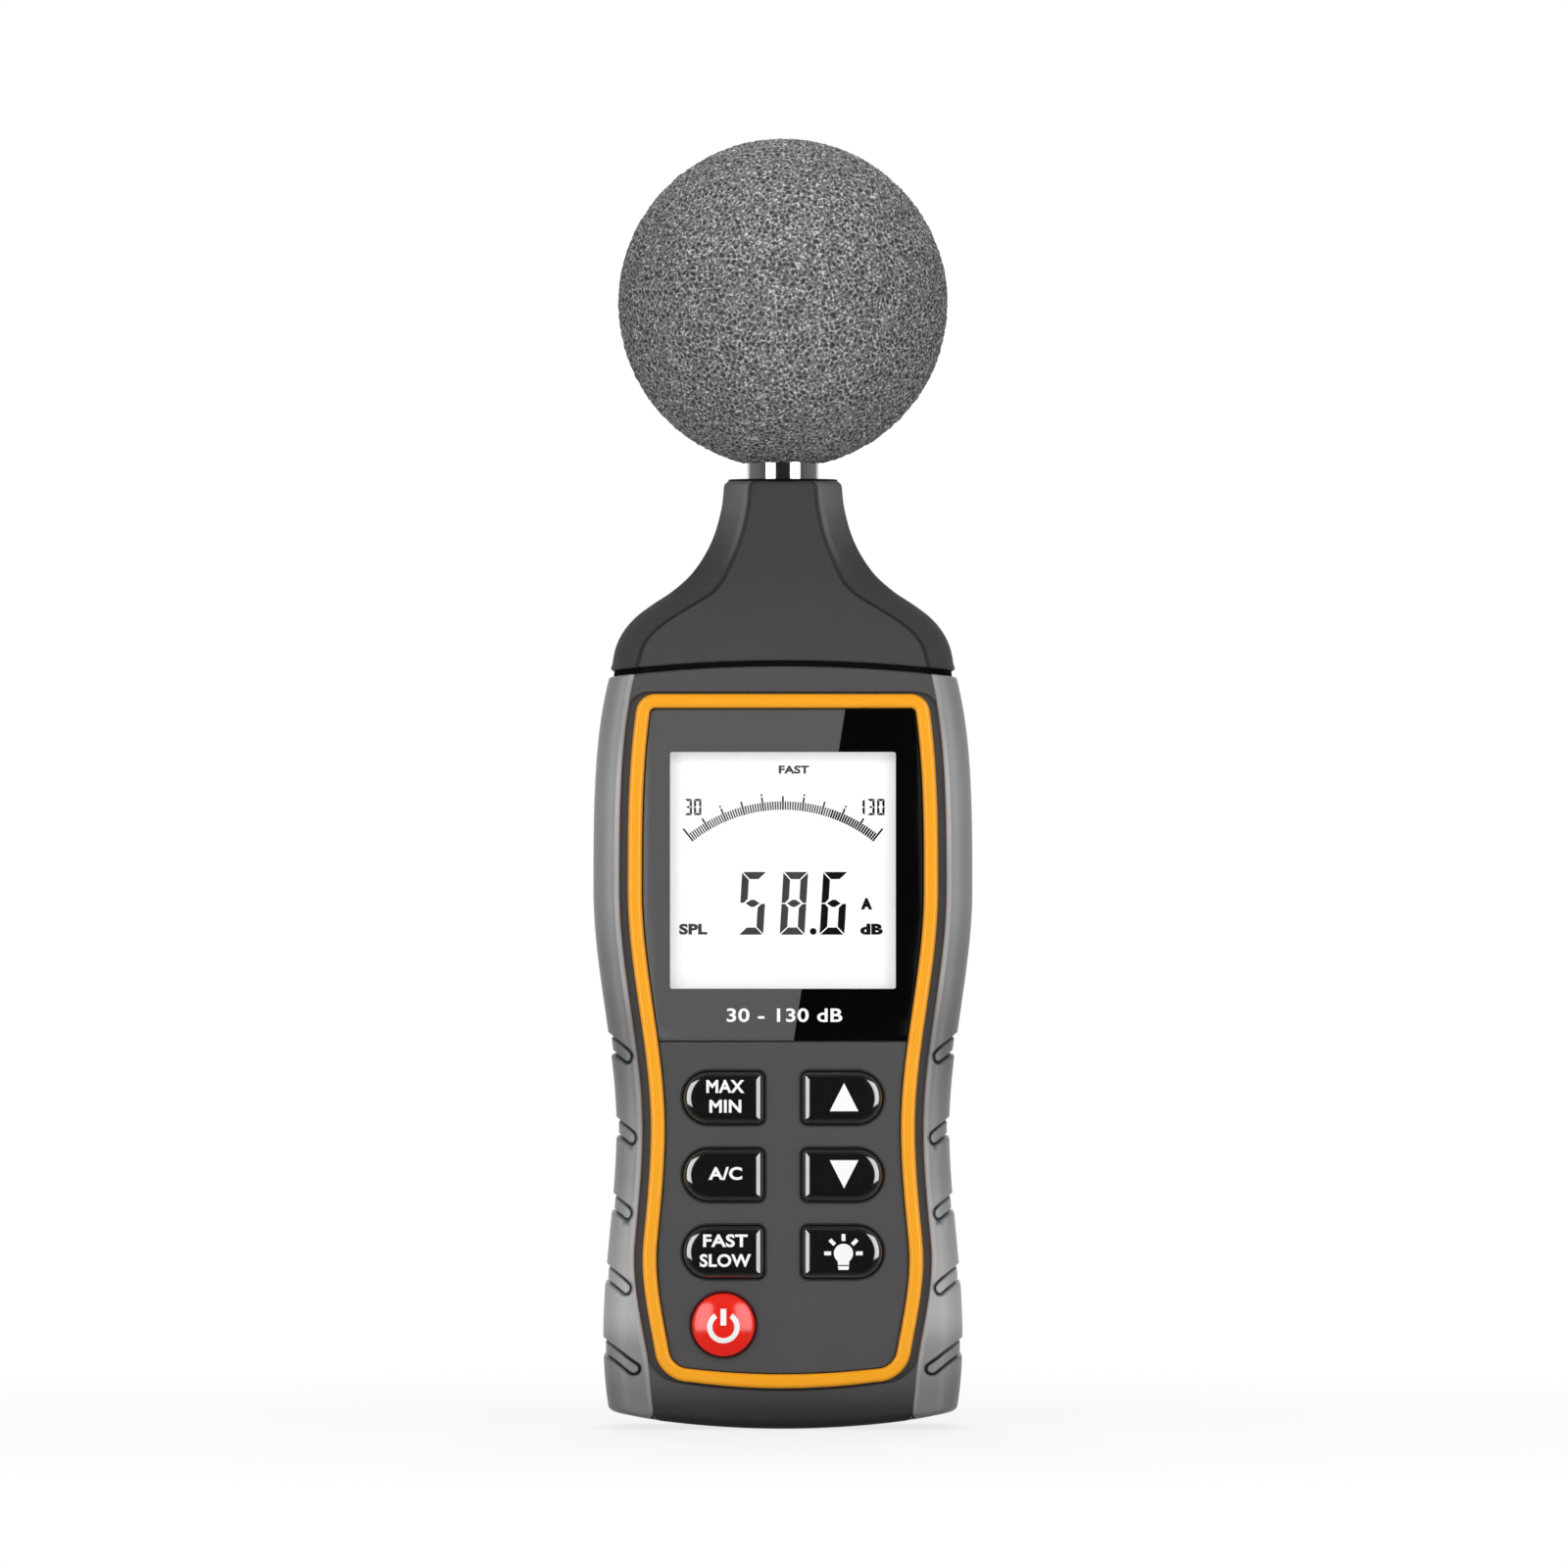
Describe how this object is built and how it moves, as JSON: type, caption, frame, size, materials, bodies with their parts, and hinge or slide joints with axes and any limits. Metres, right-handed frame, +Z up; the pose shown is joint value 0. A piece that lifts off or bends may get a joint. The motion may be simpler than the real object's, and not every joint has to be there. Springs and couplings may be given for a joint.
{
  "type": "sound level meter",
  "caption": "Handheld sound level meter with a waisted case, side grips, key pad, display, tapered head and microphone under a foam ball windscreen.",
  "frame": {"origin": "mouth of the tripod socket, in the middle of the back", "axes": "+Z up along the instrument towards the microphone, +Y out of the back along the tripod socket, front with display and keys faces -Y, +X to the right seen from the front"},
  "size_m": [0.069, 0.06, 0.235],
  "materials": {
    "case_plastic": "fine spark-eroded texture",
    "head_plastic": "fine spark-eroded texture",
    "grip_rubber": "soft satin",
    "trim_plastic": "satin gloss",
    "lens_plastic": "polished",
    "display_glass": "polished",
    "white_plastic": "moulded",
    "strip_rubber": "moulded",
    "keypad_rubber": "moulded silicone",
    "key_plastic": "glossy",
    "power_plastic": "glossy",
    "board": "solder-masked laminate",
    "chip_plastic": "moulded",
    "can_aluminium": "drawn",
    "screw_steel": "zinc-plated",
    "contact_steel": "nickel-plated",
    "cell_jacket": "printed film",
    "wire_pvc": "smooth",
    "cable_film": "smooth",
    "brass": "turned",
    "seal_rubber": "moulded",
    "mic_chrome": "polished",
    "mic_nickel": "nickel-plated",
    "mic_ptfe": "machined",
    "foam": "open-cell foam"
  },
  "bodies": {
    "meter": {"front_case": "case_plastic", "rear_case": "case_plastic", "head_front": "head_plastic", "head_rear": "head_plastic", "grip_left": "grip_rubber", "grip_right": "grip_rubber", "trim_ring": "trim_plastic", "display_lens": "lens_plastic", "seam_seal": "seal_rubber", "mic_bush": "seal_rubber", "lcd_frame": "white_plastic", "lcd_glass": "display_glass", "lcd_connector": "strip_rubber", "backlight": "white_plastic", "keypad_mat": "keypad_rubber", "main_board": "board", "mic_board": "board", "board_chips": "chip_plastic", "board_capacitors": "can_aluminium", "board_screws": "screw_steel", "case_screws": "screw_steel", "head_screws": "screw_steel", "ribbon_cable": "cable_film", "battery_left": "cell_jacket", "battery_middle": "cell_jacket", "battery_right": "cell_jacket", "contact_springs": "contact_steel", "contact_plates": "contact_steel", "battery_leads": "wire_pvc", "tripod_insert": "brass", "mic_barrel": "mic_chrome", "mic_insulator": "mic_ptfe", "mic_capsule": "mic_nickel", "mic_cap": "mic_chrome"},
    "key_max_min": {"key_max_min": "key_plastic"},
    "key_weighting": {"key_weighting": "key_plastic"},
    "key_response": {"key_response": "key_plastic"},
    "key_up": {"key_up": "key_plastic"},
    "key_down": {"key_down": "key_plastic"},
    "key_light": {"key_light": "key_plastic"},
    "power_button": {"power_button": "power_plastic"},
    "battery_door": {"battery_door": "case_plastic", "door_screw": "screw_steel"},
    "windscreen": {"windscreen": "foam"}
  },
  "joints": [
    {"name": "key_max_min_press", "type": "slide", "parent": "meter", "child": "key_max_min", "axis": [0, 1, 0], "range_m": [0, 0.0011], "stiffness_N_per_m": 1500, "springref_m": -0.0003},
    {"name": "key_weighting_press", "type": "slide", "parent": "meter", "child": "key_weighting", "axis": [0, 1, 0], "range_m": [0, 0.0011], "stiffness_N_per_m": 1500, "springref_m": -0.0003},
    {"name": "key_response_press", "type": "slide", "parent": "meter", "child": "key_response", "axis": [0, 1, 0], "range_m": [0, 0.0011], "stiffness_N_per_m": 1500, "springref_m": -0.0003},
    {"name": "key_up_press", "type": "slide", "parent": "meter", "child": "key_up", "axis": [0, 1, 0], "range_m": [0, 0.0011], "stiffness_N_per_m": 1500, "springref_m": -0.0003},
    {"name": "key_down_press", "type": "slide", "parent": "meter", "child": "key_down", "axis": [0, 1, 0], "range_m": [0, 0.0011], "stiffness_N_per_m": 1500, "springref_m": -0.0003},
    {"name": "key_light_press", "type": "slide", "parent": "meter", "child": "key_light", "axis": [0, 1, 0], "range_m": [0, 0.0011], "stiffness_N_per_m": 1500, "springref_m": -0.0003},
    {"name": "power_button_press", "type": "slide", "parent": "meter", "child": "power_button", "axis": [0, 1, 0], "range_m": [0, 0.0011], "stiffness_N_per_m": 1500, "springref_m": -0.0003},
    {"name": "battery_door_lift", "type": "slide", "parent": "meter", "child": "battery_door", "axis": [0, 1, 0], "range_m": [0, 0.03]},
    {"name": "windscreen_lift", "type": "slide", "parent": "meter", "child": "windscreen", "axis": [0, 0, 1], "range_m": [0, 0.045]}
  ]
}
